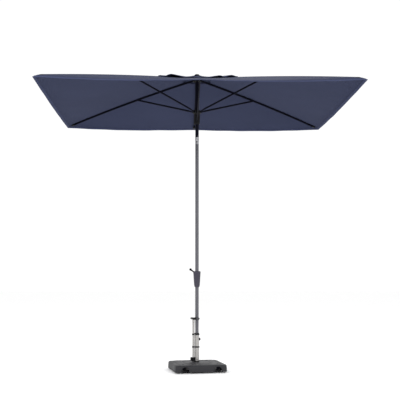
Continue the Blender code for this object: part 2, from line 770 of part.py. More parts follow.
def build_mast():
    mast = frame("mast_axis", (0, 0, 0))
    node("lower_mast", lower_mast(), ANTHRACITE, mast)
    node("crank_housing_front", housing_half(True), HOUSING_GREY, mast)
    node("crank_housing_rear", housing_half(False), HOUSING_GREY, mast)
    crank = frame("crank_axis", (0, 0, 0), (0, 0, 0), mast)
    shaft = cylinder(CRANK_SHAFT_R, MAST_R + 0.0006, 0.0478, axis="Y", at=(0, 0, CRANK_Z))
    node("crank_shaft", shaft, STEEL, crank)
    node("cord_drum", drum(), BLACK_PLASTIC, crank)
    node("crank_arm", crank_arm(), NEAR_BLACK, crank)
    node("crank_knob", crank_knob(), BLACK_PLASTIC, crank)
    node("tilt_socket", tilt_socket(), CHROME, mast)
    pin = cylinder(TILT_PIN_R, -0.0150, 0.0150, axis="X", at=(0, 0, TILT_Z))
    node("tilt_pin", pin, STEEL, mast)
    button = rounded(cylinder(0.0040, -0.0168, -0.0100, axis="Y", at=(0, 0, BUTTON_Z)), 0.0006)
    node("tilt_button", button, BLACK_PLASTIC, mast)
    route = [
        (0.0106, 0.0265, 0.8070),
        (0.0102, 0.0250, 0.8120),
        (0.0090, 0.0215, 0.8170),
        (0.0062, 0.0155, 0.8215),
        (0.0028, 0.0105, 0.8270),
        (0.0008, 0.0078, 0.8350),
        (0.0, CORD_Y, 0.8450),
        (0.0, CORD_Y, TILT_Z - 0.0165),
    ]
    node("lift_cord_lower", bent(route, CORD_R), CORD, mast)


# ---- Upper mast, hub, runner, ribs, struts and fabric ----


def upper_mast():
    mast = tube(MAST_R, MAST_BORE, TILT_Z + 0.0250 + GAP, MAST_TOP, sides=FINE_SIDES)
    return cut(mast, box((0.004, -0.0042, PULLEY_Z - 0.0135), (0.02, 0.0042, PULLEY_Z + 0.0135)))


def radial(azimuth):
    """Matrix that turns +X towards a rib's azimuth."""
    return Matrix.Rotation(radians(azimuth), 4, "Z")


def turned_to(obj, azimuth):
    obj.data.transform(radial(azimuth))
    return obj


def top_hub():
    """Cast hub on the mast's top: a slot and a pin hole for each rib, open below and outwards."""
    body = turned(
        [
            (0.0, 0.0145),
            (0.0300, 0.0145),
            (0.0370, 0.0115),
            (0.0370, -0.0150),
            (0.0330, -0.0185),
            (0.0, -0.0185),
        ],
        at=(0, 0, HUB_Z),
        sides=36,
    )
    cutters = [cylinder(MAST_R + GAP, HUB_Z - 0.03, MAST_TOP + GAP, sides=FINE_SIDES)]
    for azimuth in RIBS.values():
        half = CHANNEL_OUTER + GAP
        slot = box((0.0190, -half, HUB_Z - 0.03), (0.05, half, HUB_Z + 0.0085))
        cutters.append(turned_to(slot, azimuth))
    return cut(body, *cutters, ring_wire(RING_WIRE_R + GAP))


def ring_wire(radius):
    """The wire ring that every rib turns on, in its groove round the hub."""
    profile = [(PIVOT_R + x, HUB_Z + z) for x, z in arc((0, 0), radius, 90, -270, 6)[:-1]]
    return turned(profile, ring=True, sides=36)


def runner():
    """Sliding collar: a slotted ring for the corner struts, and two lugs on its sleeve for the mid struts.

    A pin crosses each lug. A corner slot has a track, open outwards, for its strut's own pin.
    """
    bore = 0.0172
    body = turned(
        [
            (bore, RUNNER_Z + 0.0118),
            (0.0330, RUNNER_Z + 0.0118),
            (0.0355, RUNNER_Z + 0.0095),
            (0.0355, RUNNER_Z - 0.0085),
            (0.0330, RUNNER_Z - 0.0120),
            (0.0250, RUNNER_Z - 0.0180),
            (0.0245, RUNNER_Z - 0.1000),
            (0.0225, RUNNER_Z - 0.1080),
            (bore, RUNNER_Z - 0.1080),
        ],
        ring=True,
        sides=36,
    )
    slot_half = STRUT_R + GAP
    lugs = []
    cutters = []
    pins = []
    for name, azimuth in RIBS.items():
        foot = RUNNER_Z - 0.0075
        if name.endswith("mid"):
            foot = RUNNER_MID_Z - 0.0065
            low = (0.0200, -LUG_HALF, RUNNER_MID_Z - LUG_HALF)
            lugs.append(turned_to(box(low, (0.0320, LUG_HALF, RUNNER_MID_Z + LUG_HALF)), azimuth))
            at = (PIVOT_R, 0, RUNNER_MID_Z)
            pin = cylinder(RIB_PIN_R, -LUG_HALF + 0.001, LUG_HALF - 0.001, axis="Y", at=at, sides=12)
            pins.append(turned_to(pin, azimuth))
        else:
            low = (PIVOT_R - 0.0026, -0.0078, RUNNER_Z - TRACK_HALF)
            cutters.append(turned_to(box(low, (0.05, 0.0078, RUNNER_Z + TRACK_HALF)), azimuth))
        slot = box((0.0205, -slot_half, foot), (0.05, slot_half, RUNNER_Z + 0.03))
        cutters.append(turned_to(slot, azimuth))
    return join(cut(join(body, *lugs), *cutters), *pins)


def channel_section():
    """The rib's inverted U section as (y, z) points, open below so that the strut folds into it."""
    return [
        (CHANNEL_OUTER, CHANNEL_FOOT),
        (CHANNEL_OUTER, CHANNEL_TOP - 0.0012),
        (CHANNEL_OUTER - 0.0012, CHANNEL_TOP),
        (-CHANNEL_OUTER + 0.0012, CHANNEL_TOP),
        (-CHANNEL_OUTER, CHANNEL_TOP - 0.0012),
        (-CHANNEL_OUTER, CHANNEL_FOOT),
        (-CHANNEL_INNER, CHANNEL_FOOT),
        (-CHANNEL_INNER, CHANNEL_TOP - 0.0008),
        (CHANNEL_INNER, CHANNEL_TOP - 0.0008),
        (CHANNEL_INNER, CHANNEL_FOOT),
    ]


def rib_mesh(spine, pivot):
    """Rib in its own frame: a channel along the spine, the strut's pin across it, and a tip cap."""
    rings = []
    for i, spot in enumerate(spine):
        along = (spine[min(i + 1, len(spine) - 1)] - spine[max(i - 1, 0)]).normalized()
        up = Vector((-along.z, 0, along.x))
        rings.append([spot + Vector((0, y, 0)) + up * z for y, z in channel_section()])
    rib = loft(rings)
    rib = cut(rib, cylinder(RING_HOLE_R, -0.01, 0.01, axis="Y", sides=12))
    half = CHANNEL_OUTER + 0.0007
    pin = cylinder(RIB_PIN_R, -half, half, axis="Y", at=pivot, sides=12)
    last = spine[-1] - spine[-2]
    cap = turned(
        [(0.0, TIP_CAP), (0.0030, 0.0110), (0.0058, 0.0080), (0.0066, 0.0), (0.0066, -0.003), (0.0, -0.003)]
    )
    turn = Matrix.Rotation(-atan2(last.z, last.x), 4, "Y")
    cap.data.transform(Matrix.Translation(spine[-1]) @ turn @ AXES["X"])
    return join(rib, pin, cap)


def bowed_rib(reach, height, slope, arm):
    """A bowed rib, in a frame at its hub pivot that slopes straight to its strut pivot."""
    turn = Matrix.Rotation(-slope, 3, "Y")
    stretch = (reach - PIVOT_R) * RIB_SHARE - TIP_CAP
    spine = []
    for i in range(9):
        r = PIVOT_R + stretch * i / 8
        spine.append(turn @ Vector((r - PIVOT_R, 0, height(r) - HUB_Z)))
    start = (spine[0] - spine[1]).normalized() * RIB_END
    return rib_mesh([start] + spine[1:], (arm, 0, 0))


def oval(x, radius, depth, sides=12):
    """A ring across X at x, round on its +Z side and drawn out to a depth on its -Z side."""
    ring = []
    for i in range(sides):
        turn = 2 * pi * (i + 0.5) / sides
        z = sin(turn) * (radius if sin(turn) > 0 else depth)
        ring.append(Vector((x, cos(turn) * radius, z)))
    return ring


def strut(length, pinned):
    """Strut along +X from its rib pivot: an oval tube, drawn down to round at both ends.

    A pinned one has an eye for the runner, others carry a pin.
    """
    stations = (
        (-STRUT_END, STRUT_R),
        (0.010, STRUT_R),
        (0.040, STRUT_DEPTH),
        (length - 0.070, STRUT_DEPTH),
        (length - 0.012, STRUT_R),
        (length + 0.0040, STRUT_R),
    )
    walls = []
    for inset, over in ((0.0, 0.0), (TUBE_WALL, 0.001)):
        rings = []
        for i, (x, depth) in enumerate(stations):
            x += over if i == len(stations) - 1 else -over if i == 0 else 0.0
            rings.append(oval(x, STRUT_R - inset, depth - inset))
        walls.append(loft(rings))
    body = cut(*walls)
    body = cut(body, cylinder(RIB_PIN_R + GAP, -0.01, 0.01, axis="Y", sides=12))
    at = (length, 0, 0)
    if pinned:
        return cut(body, cylinder(RIB_PIN_R + GAP, -0.01, 0.01, axis="Y", at=at, sides=16))
    return join(body, cylinder(RIB_PIN_R, -0.0072, 0.0072, axis="Y", at=at, sides=12))


def sheet_over_ribs(shares, rise, mid_drop, corner_drop):
    """Fabric over the ribs, in rings at shares of the way from hub to edge. The last one drops as a hem."""
    bm = bmesh.new()
    loops = []
    for share in shares:
        loop = []
        for name, azimuth in RIBS.items():
            mid = name.endswith("mid")
            reach = CANOPY_HALF_Y if mid else CORNER_REACH
            r = PIVOT_R + share * (reach - PIVOT_R)
            z = (mid_rib_height(r) if mid else corner_rib_height(r)) + rise(share)
            if share == shares[-1]:
                z -= mid_drop if mid else corner_drop
            loop.append(radial(azimuth) @ Vector((r, 0, z)))
        ring = []
        for i, spot in enumerate(loop):
            after = loop[(i + 1) % len(loop)]
            ring += [bm.verts.new(spot), bm.verts.new((spot + after) / 2)]
        loops.append(ring)
    for near, far in zip(loops, loops[1:]):
        count = len(near)
        for i in range(count):
            j = (i + 1) % count
            bm.faces.new((near[i], far[i], far[j], near[j]))
    mesh = bpy.data.meshes.new("work")
    bm.to_mesh(mesh)
    bm.free()
    sheet = working("work", mesh)
    thick = sheet.modifiers.new("cloth", "SOLIDIFY")
    thick.thickness = FABRIC
    thick.offset = 1
    return baked(sheet)


def canopy():
    shares = [VENT_SHARE + (RIB_SHARE - VENT_SHARE) * i / 9 for i in range(10)] + [1.0]
    return sheet_over_ribs(shares, lambda share: FABRIC_RISE, MID_HEM_DROP, CORNER_HEM_DROP)


def vent_cap():
    """Cap over the vent, tented at the centre where the finial holds it."""

    def rise(share):
        return FABRIC_RISE + 0.0060 + 0.0215 * exp(-(share + 0.008) / 0.05)

    return sheet_over_ribs([0.0, 0.025, 0.05, 0.09, 0.14, 0.20, 0.255], rise, 0.0, 0.0)


def build_upper():
    tilt = frame("tilt_axis", (0, 0, TILT_Z))
    upper = frame("upper_frame", (0, 0, -TILT_Z), (0, 0, 0), tilt)
    node("tilt_knuckle", tilt_knuckle(), CHROME, upper)
    node("upper_mast", upper_mast(), NEAR_BLACK, upper)
    node("top_hub", top_hub(), BLACK_PLASTIC, upper)
    node("hub_ring_wire", ring_wire(RING_WIRE_R), STEEL, upper)
    finial = turned(
        [
            (0.0, HUB_Z + 0.0510),
            (0.0120, HUB_Z + 0.0502),
            (0.0190, HUB_Z + 0.0475),
            (0.0215, HUB_Z + 0.0435),
            (0.0215, HUB_Z + 0.0418),
            (0.0070, HUB_Z + 0.0405),
            (0.0070, HUB_Z + 0.0365),
            (0.0165, HUB_Z + 0.0360),
            (0.0165, HUB_Z + 0.0150),
            (0.0, HUB_Z + 0.0150),
        ]
    )
    node("finial", finial, BLACK_PLASTIC, upper)
    pulley = turned(
        [
            (0.0019, 0.0030),
            (0.0110, 0.0030),
            (PULLEY_R - CORD_R - GAP, 0.0013),
            (PULLEY_R - CORD_R - GAP, -0.0013),
            (0.0110, -0.0030),
            (0.0019, -0.0030),
        ],
        ring=True,
        axis="Y",
        at=(PULLEY_R, 0, PULLEY_Z),
    )
    node("cord_pulley", pulley, BLACK_PLASTIC, upper)
    pin = cylinder(0.0016, -0.0070, 0.0070, axis="Y", at=(PULLEY_R, 0, PULLEY_Z), sides=12)
    node("pulley_pin", pin, STEEL, upper)
    route = [(0, CORD_Y, TILT_Z - 0.0110), (0, CORD_Y, 2.030), (0, 0.004, 2.200), (0, 0, 2.380)]
    for i in range(13):
        angle = pi - pi * i / 12
        route.append(
            (PULLEY_R + PULLEY_R * cos(angle), 0, PULLEY_Z + PULLEY_R * sin(angle))
        )
    node("lift_cord_upper", bent(route, CORD_R), CORD, upper)
    fall = cylinder(CORD_R, RUNNER_Z + 0.0118 + GAP, PULLEY_Z - GAP, at=(2 * PULLEY_R, 0, 0), sides=8)
    node("lift_cord_fall", fall, CORD, upper)
    slide = frame("runner_frame", (0, 0, 0), (0, 0, 0), upper)
    node("runner", runner(), BLACK_PLASTIC, slide)

    meshes = {
        "corner_rib": bowed_rib(CORNER_REACH, corner_rib_height, CORNER_SLOPE, CORNER_ARM),
        "mid_rib": bowed_rib(CANOPY_HALF_Y, mid_rib_height, MID_SLOPE, MID_STRUT),
        "corner_strut": strut(CORNER_STRUT, False),
        "mid_strut": strut(MID_STRUT, True),
    }
    for key, obj in meshes.items():
        meshes[key] = obj.data
        bpy.data.objects.remove(obj, do_unlink=True)
    for name, azimuth in RIBS.items():
        kind = "mid" if name.endswith("mid") else "corner"
        slope = MID_SLOPE if kind == "mid" else CORNER_SLOPE
        pivot_r, pivot_z = (MID_R, MID_Z) if kind == "mid" else (CORNER_R, CORNER_Z)
        strut_slope = MID_STRUT_SLOPE if kind == "mid" else CORNER_STRUT_SLOPE
        angle = radians(azimuth)
        hinge = frame(
            f"rib_axis_{name}",
            (PIVOT_R * cos(angle), PIVOT_R * sin(angle), HUB_Z),
            (0, slope, angle),
            upper,
        )
        node(f"rib_{name}", meshes[f"{kind}_rib"].copy(), NEAR_BLACK, hinge)
        joint = frame(
            f"strut_axis_{name}",
            (pivot_r * cos(angle), pivot_r * sin(angle), pivot_z),
            (0, pi - strut_slope, angle),
            upper,
        )
        node(f"strut_{name}", meshes[f"{kind}_strut"].copy(), NEAR_BLACK, joint)

    node("canopy", canopy(), SLATE_FABRIC, upper)
    node("vent_cap", vent_cap(), SLATE_FABRIC, upper)


build_base()
build_castors()
build_mast()
build_upper()
bpy.context.view_layer.update()
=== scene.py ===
"""Looks of the patio umbrella with base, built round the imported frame. Metres, +Z up."""

import json
from math import atan2, cos, exp, hypot, pi, radians, sin

import bmesh
import bpy
from mathutils import Matrix, Vector


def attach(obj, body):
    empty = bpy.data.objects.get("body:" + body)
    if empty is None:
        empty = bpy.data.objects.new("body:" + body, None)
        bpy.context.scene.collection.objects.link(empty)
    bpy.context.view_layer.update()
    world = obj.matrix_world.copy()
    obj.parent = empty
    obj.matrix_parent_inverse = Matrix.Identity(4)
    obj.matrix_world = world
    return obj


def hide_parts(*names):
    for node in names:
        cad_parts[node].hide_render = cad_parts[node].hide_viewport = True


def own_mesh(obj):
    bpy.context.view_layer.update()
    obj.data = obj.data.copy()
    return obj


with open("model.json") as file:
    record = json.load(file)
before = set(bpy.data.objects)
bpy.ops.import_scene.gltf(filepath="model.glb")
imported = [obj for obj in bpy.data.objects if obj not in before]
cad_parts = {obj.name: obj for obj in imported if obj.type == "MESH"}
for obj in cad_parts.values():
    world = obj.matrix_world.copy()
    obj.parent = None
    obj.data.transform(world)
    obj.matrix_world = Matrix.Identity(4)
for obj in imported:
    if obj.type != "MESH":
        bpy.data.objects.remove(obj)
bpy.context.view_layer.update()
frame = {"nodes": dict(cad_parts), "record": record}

nodes = frame["nodes"]
slot_of = {row["node"]: row["material_slot"] for row in frame["record"]["subparts"]}

# The linkage's dimensions, as the frame has them
HALF_X = 1.25
HALF_Y = 1.00
HUB_Z = 2.500
PIVOT_R = 0.027
CORNER_TIP_Z = 2.2660
CORNER_BOW = 0.056
MID_TIP_Z = 2.2400
MID_PIVOT = (0.73072, 2.3165)
RISE = 0.0092
RIB_SHARE = 0.963
CORNER_HEM_DROP = 0.0155
MID_HEM_DROP = 0.0010
CAP_SHARE = 0.255
VENT_SHARE = 0.080
CORNER_REACH = hypot(HALF_X, HALF_Y)
CORNER_ANGLE = atan2(HALF_Y, HALF_X)
RIBS = {
    "near_mid": -pi / 2,
    "near_right": -CORNER_ANGLE,
    "far_right": CORNER_ANGLE,
    "far_mid": pi / 2,
    "far_left": pi - CORNER_ANGLE,
    "near_left": pi + CORNER_ANGLE,
}
ORDER = list(RIBS)
BASE_YAW = radians(9.09)
CRANK_Z = 0.807
BUTTON_Z = 1.9403


# ---- Camera, floor and light ----

camera_data = bpy.data.cameras.new("camera")
camera_data.lens = 70.70
camera_data.sensor_width = 36.0
camera_data.clip_end = 60.0
camera = bpy.data.objects.new("camera", camera_data)
camera.location = (-0.2124, -6.7298, 0.7775)
camera.rotation_euler = (pi / 2 + 0.0989, 0.0, -atan2(0.0354, 0.9994))
bpy.context.scene.collection.objects.link(camera)
bpy.context.scene.camera = camera
bpy.context.scene.view_settings.view_transform = "Standard"


def area_light(name, spot, aim, size, power, colour=(1, 1, 1)):
    data = bpy.data.lights.new(name, "AREA")
    data.shape = "DISK"
    data.size = size
    data.energy = power
    data.color = colour
    lamp = bpy.data.objects.new(name, data)
    lamp.location = spot
    lamp.rotation_euler = (Vector(aim) - Vector(spot)).to_track_quat("-Z", "Y").to_euler()
    bpy.context.scene.collection.objects.link(lamp)


area_light("key", (-3.6, -5.2, 5.4), (0, 0, 1.6), 3.2, 260)
area_light("fill", (4.4, -4.6, 2.6), (0, 0, 1.2), 3.6, 110)
area_light("rim", (1.5, 5.5, 5.0), (0, 0, 1.8), 3.0, 120)

world = bpy.data.worlds.new("studio")
bpy.context.scene.world = world
world.use_nodes = True
world.node_tree.nodes["Background"].inputs["Color"].default_value = (1.0, 1.0, 1.0, 1.0)
world.node_tree.nodes["Background"].inputs["Strength"].default_value = 1.04


# ---- Shader helpers ----


def new_material(name, colour, roughness, metallic=0.0, **sockets):
    """A Principled material. Even values go on the shader's own sockets."""
    material = bpy.data.materials.new(name)
    material.use_nodes = True
    tree = material.node_tree
    shader = tree.nodes["Principled BSDF"]
    shader.inputs["Base Color"].default_value = (*colour, 1.0)
    shader.inputs["Roughness"].default_value = roughness
    shader.inputs["Metallic"].default_value = metallic
    for key, value in sockets.items():
        shader.inputs[key.replace("_", " ")].default_value = value
    return material, tree, shader


def coordinates(tree, stretch=(1.0, 1.0, 1.0), turn=(0.0, 0.0, 0.0)):
    """Object coordinates in metres, stretched and turned."""
    source = tree.nodes.new("ShaderNodeTexCoord")
    mapping = tree.nodes.new("ShaderNodeMapping")
    mapping.inputs["Scale"].default_value = stretch
    mapping.inputs["Rotation"].default_value = turn
    tree.links.new(source.outputs["Object"], mapping.inputs["Vector"])
    return mapping.outputs["Vector"]


def noise(tree, vector, scale, detail=3.0, roughness=0.55):
    made = tree.nodes.new("ShaderNodeTexNoise")
    made.inputs["Scale"].default_value = scale
    made.inputs["Detail"].default_value = detail
    made.inputs["Roughness"].default_value = roughness
    tree.links.new(vector, made.inputs["Vector"])
    return made.outputs["Fac"]


def math_node(tree, operation, *values):
    made = tree.nodes.new("ShaderNodeMath")
    made.operation = operation
    for socket, value in zip(made.inputs, values):
        if isinstance(value, (int, float)):
            socket.default_value = value
        else:
            tree.links.new(value, socket)
    return made.outputs[0]


def ranged(tree, value, low, high, to_low, to_high):
    made = tree.nodes.new("ShaderNodeMapRange")
    for key, number in (("From Min", low), ("From Max", high), ("To Min", to_low), ("To Max", to_high)):
        made.inputs[key].default_value = number
    tree.links.new(value, made.inputs["Value"])
    return made.outputs["Result"]


def mixed(tree, share, first, second, blend="MIX"):
    """Two colours mixed by a share. Each is an RGB triple or a colour output."""
    made = tree.nodes.new("ShaderNodeMix")
    made.data_type = "RGBA"
    made.blend_type = blend
    tree.links.new(share, made.inputs["Factor"])
    for key, colour in (("A", first), ("B", second)):
        socket = [s for s in made.inputs if s.name == key and s.type == "RGBA"][0]
        if isinstance(colour, tuple):
            socket.default_value = (*colour, 1.0)
        else:
            tree.links.new(colour, socket)
    return [s for s in made.outputs if s.type == "RGBA"][0]


def bumped(tree, shader, height, distance, strength):
    made = tree.nodes.new("ShaderNodeBump")
    made.inputs["Distance"].default_value = distance
    made.inputs["Strength"].default_value = strength
    tree.links.new(height, made.inputs["Height"])
    tree.links.new(made.outputs["Normal"], shader.inputs["Normal"])


def scaled(colour, factor):
    return tuple(min(1.0, c * factor) for c in colour)


# ---- Materials ----


def coated_metal(name, colour, roughness, metallic=0.0, gloss=0.5):
    """Satin powder coat: fine orange peel, faint mottle and a few scuffs."""
    material, tree, shader = new_material(name, colour, roughness, metallic, Specular_IOR_Level=gloss)
    where = coordinates(tree)
    mottle = ranged(tree, noise(tree, where, 9.0, 4.0), 0.3, 0.7, 0.0, 1.0)
    scratch = noise(tree, coordinates(tree, (1, 1, 0.15)), 160.0, 5.0, 0.7)
    scuffs = ranged(tree, scratch, 0.66, 0.76, 0.0, 0.35)
    body = mixed(tree, mottle, scaled(colour, 0.90), scaled(colour, 1.10))
    tree.links.new(mixed(tree, scuffs, body, scaled(colour, 1.6)), shader.inputs["Base Color"])
    sheen = ranged(tree, mottle, 0.0, 1.0, roughness - 0.05, roughness + 0.07)
    tree.links.new(sheen, shader.inputs["Roughness"])
    bumped(tree, shader, noise(tree, where, 900.0, 2.0), 0.0002, 0.35)
    return material


def brushed_metal(name, colour, roughness, along=(1, 1, 0.02)):
    """Metal with a fine grain along its length."""
    material, tree, shader = new_material(name, colour, roughness, 1.0)
    grain = noise(tree, coordinates(tree, along), 1400.0, 4.0, 0.7)
    smudge = noise(tree, coordinates(tree), 22.0, 3.0)
    body = mixed(tree, grain, scaled(colour, 0.78), scaled(colour, 1.12))
    tree.links.new(body, shader.inputs["Base Color"])
    fine = ranged(tree, grain, 0.3, 0.7, -0.06, 0.08)
    broad = ranged(tree, smudge, 0.3, 0.7, roughness - 0.04, roughness + 0.06)
    tree.links.new(math_node(tree, "ADD", fine, broad), shader.inputs["Roughness"])
    bumped(tree, shader, grain, 0.0001, 0.4)
    return material


def polished_metal(name, colour, roughness):
    material, tree, shader = new_material(name, colour, roughness, 1.0)
    smudge = noise(tree, coordinates(tree), 60.0, 5.0, 0.65)
    tree.links.new(ranged(tree, smudge, 0.35, 0.75, roughness, roughness + 0.16), shader.inputs["Roughness"])
    tree.links.new(mixed(tree, smudge, scaled(colour, 0.94), colour), shader.inputs["Base Color"])
    bumped(tree, shader, noise(tree, coordinates(tree), 1200.0, 2.0), 0.00005, 0.2)
    return material


def moulded(name, colour, roughness, grain=1600.0, depth=0.0003, strength=0.45, gloss=0.5):
    """Moulded plastic: a spark-eroded grain, slight flow marks and rubbed patches."""
    material, tree, shader = new_material(name, colour, roughness, Specular_IOR_Level=gloss)
    where = coordinates(tree)
    cells = tree.nodes.new("ShaderNodeTexVoronoi")
    cells.inputs["Scale"].default_value = grain
    tree.links.new(where, cells.inputs["Vector"])
    flow = ranged(tree, noise(tree, coordinates(tree, (1, 1, 0.5)), 14.0, 4.0), 0.3, 0.7, 0.0, 1.0)
    rubbed = ranged(tree, noise(tree, where, 95.0, 6.0, 0.7), 0.60, 0.78, 0.0, 0.5)
    body = mixed(tree, flow, scaled(colour, 0.90), scaled(colour, 1.12))
    tree.links.new(mixed(tree, rubbed, body, scaled(colour, 1.45)), shader.inputs["Base Color"])
    sheen = ranged(tree, flow, 0.0, 1.0, roughness - 0.06, roughness + 0.08)
    tree.links.new(sheen, shader.inputs["Roughness"])
    bumped(tree, shader, cells.outputs["Distance"], depth, strength)
    return material


def rubber(name, colour):
    """Matt rubber with fine dust in its pores."""
    material, tree, shader = new_material(name, colour, 0.85)
    where = coordinates(tree)
    dust = ranged(tree, noise(tree, where, 120.0, 6.0, 0.7), 0.5, 0.8, 0.0, 0.6)
    tree.links.new(mixed(tree, dust, colour, (0.11, 0.105, 0.10)), shader.inputs["Base Color"])
    bumped(tree, shader, noise(tree, where, 1100.0, 3.0), 0.0003, 0.5)
    return material


def cast_iron(name, colour):
    material, tree, shader = new_material(name, colour, 0.85, 0.3)
    where = coordinates(tree)
    pits = noise(tree, where, 260.0, 6.0, 0.75)
    tree.links.new(mixed(tree, pits, scaled(colour, 0.6), scaled(colour, 1.5)), shader.inputs["Base Color"])
    bumped(tree, shader, pits, 0.0010, 0.6)
    return material


def cord(name, colour):
    """Braided cord: crossing strands round and along it."""
    material, tree, shader = new_material(name, colour, 0.8)
    strands = []
    for lean in (0.7, -0.7):
        wave = tree.nodes.new("ShaderNodeTexWave")
        wave.inputs["Scale"].default_value = 420.0
        tree.links.new(coordinates(tree, turn=(0.0, lean, 0.0)), wave.inputs["Vector"])
        strands.append(wave.outputs["Fac"])
    braid = math_node(tree, "MAXIMUM", *strands)
    tree.links.new(mixed(tree, braid, scaled(colour, 0.5), scaled(colour, 1.4)), shader.inputs["Base Color"])
    bumped(tree, shader, braid, 0.0003, 0.6)
    return material


YARN = 0.0016
STITCH = 0.0042
STITCH_SHARE = 0.72
THREAD_HALF = 0.0005
SEAM_STITCH = 0.0085
EDGE_STITCH = 0.0030
HEM = 0.022
# Colour factor for painted light on the hem strip, which makes it lighter than the rest of the cloth
HEM_PAINTED_LIGHT = (1.30, 1.30, 1.32)


def cloth(name, colour, stitched=True):
    """Woven polyester. Its UVs are metres: across from the seam, and in from the hem.

    Two crossed yarn waves make the weave, and dashes of thread run beside the seam and along the hem. The
    strip within the hem's width of the edge gets painted light: its colour is multiplied lighter.
    """
    material, tree, shader = new_material(
        name, colour, 0.85, Sheen_Weight=0.008, Sheen_Roughness=0.45, Specular_IOR_Level=0.03
    )
    source = tree.nodes.new("ShaderNodeUVMap")
    source.uv_map = "cloth"
    split = tree.nodes.new("ShaderNodeSeparateXYZ")
    tree.links.new(source.outputs["UV"], split.inputs["Vector"])
    across, inward = split.outputs["X"], split.outputs["Y"]
    warp = math_node(tree, "SINE", math_node(tree, "MULTIPLY", across, 2 * pi / YARN))
    weft = math_node(tree, "SINE", math_node(tree, "MULTIPLY", inward, 2 * pi / YARN))
    weave = ranged(tree, math_node(tree, "MULTIPLY", warp, weft), -1.0, 1.0, 0.0, 1.0)
    where = coordinates(tree)
    fleck = noise(tree, where, 700.0, 3.0, 0.7)
    broad = ranged(tree, noise(tree, where, 2.2, 4.0), 0.3, 0.7, 0.0, 1.0)
    body = mixed(tree, broad, scaled(colour, 0.93), scaled(colour, 1.07))
    body = mixed(tree, math_node(tree, "MULTIPLY", fleck, 0.35), body, scaled(colour, 1.5))
    body = mixed(tree, math_node(tree, "MULTIPLY", weave, 0.18), body, scaled(colour, 0.62))
    # Painted light: the strip within the hem's width of the edge is multiplied lighter
    hem_painted_light_mask = ranged(tree, inward, HEM, HEM + 0.001, 1.0, 0.0)
    body = mixed(tree, hem_painted_light_mask, body, HEM_PAINTED_LIGHT, "MULTIPLY")
    height = math_node(tree, "ADD", weave, math_node(tree, "MULTIPLY", fleck, 0.5))
    if stitched:
        lines = []
        rows = (
            (SEAM_STITCH, across, inward),
            (EDGE_STITCH, inward, across),
            (HEM - EDGE_STITCH, inward, across),
        )
        for offset, way, run in rows:
            gap = math_node(tree, "ABSOLUTE", math_node(tree, "SUBTRACT", way, offset))
            near = math_node(tree, "LESS_THAN", gap, THREAD_HALF)
            beat = math_node(tree, "FRACT", math_node(tree, "DIVIDE", run, STITCH))
            lines.append(math_node(tree, "MULTIPLY", near, math_node(tree, "LESS_THAN", beat, STITCH_SHARE)))
        thread = math_node(tree, "MAXIMUM", lines[0], math_node(tree, "MAXIMUM", lines[1], lines[2]))
        body = mixed(tree, thread, body, scaled(colour, 1.9))
        height = math_node(tree, "ADD", height, math_node(tree, "MULTIPLY", thread, 1.5))
    tree.links.new(body, shader.inputs["Base Color"])
    tree.links.new(ranged(tree, fleck, 0.3, 0.7, 0.76, 0.90), shader.inputs["Roughness"])
    bumped(tree, shader, height, 0.0004, 0.5)
    return material


LOOKS = {
    "powder_coated_anthracite": coated_metal("coat_anthracite", (0.078, 0.078, 0.090), 0.40, 0.20),
    "near_black_paint": coated_metal("coat_near_black", (0.004, 0.004, 0.009), 0.6, gloss=0.06),
    "stainless_steel": brushed_metal("steel_brushed", (0.38, 0.37, 0.36), 0.24),
    "chrome_plate": polished_metal("chrome", (0.45, 0.45, 0.47), 0.28),
    "bare_steel": polished_metal("zinc_steel", (0.46, 0.46, 0.47), 0.30),
    "cast_iron": cast_iron("cast_iron", (0.075, 0.075, 0.077)),
    "base_grey_plastic": moulded("base_plastic", (0.019, 0.019, 0.022), 0.55, 900.0, 0.0006, 0.5, gloss=0.25),
    "housing_grey_plastic": moulded("housing_plastic", (0.032, 0.030, 0.044), 0.42, gloss=0.3),
    "castor_rubber": rubber("castor_rubber", (0.022, 0.022, 0.024)),
    "slate_fabric": cloth("fabric", (0.030, 0.0355, 0.068)),
    "braided_cord": cord("braided_cord", (0.09, 0.09, 0.10)),
    "black_plastic": moulded("black_plastic", (0.008, 0.008, 0.009), 0.55, gloss=0.12),
}
for name, obj in nodes.items():
    for material_slot in obj.material_slots:
        material_slot.material = LOOKS[slot_of[name]]

floor_material, floor_tree, floor_shader = new_material("floor_paint", (0.95, 0.95, 0.95), 0.95)
speckle = noise(floor_tree, coordinates(floor_tree), 3.0, 2.0)
floor_paint = mixed(floor_tree, speckle, (0.94, 0.94, 0.94), (0.96, 0.96, 0.96))
floor_tree.links.new(floor_paint, floor_shader.inputs["Base Color"])
FLOOR = 40.0
floor_corners = [(-FLOOR, -FLOOR, 0), (FLOOR, -FLOOR, 0), (FLOOR, FLOOR, 0), (-FLOOR, FLOOR, 0)]
floor_mesh = bpy.data.meshes.new("studio_floor")
floor_mesh.from_pydata(floor_corners, [], [(0, 1, 2, 3)])
floor_mesh.materials.append(floor_material)
studio_floor = bpy.data.objects.new("studio_floor", floor_mesh)
bpy.context.scene.collection.objects.link(studio_floor)


# ---- Mesh helpers ----


def piece(name, bm, look, body, sharp=35):
    """A finished visible piece that rides on a body and takes a record slot's finish."""
    mesh = bpy.data.meshes.new(name)
    bm.to_mesh(mesh)
    bm.free()
    mesh.shade_smooth()
    mesh.set_sharp_from_angle(angle=radians(sharp))
    mesh.materials.append(LOOKS[look])
    obj = bpy.data.objects.new(name, mesh)
    bpy.context.scene.collection.objects.link(obj)
    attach(obj, body)
    return obj


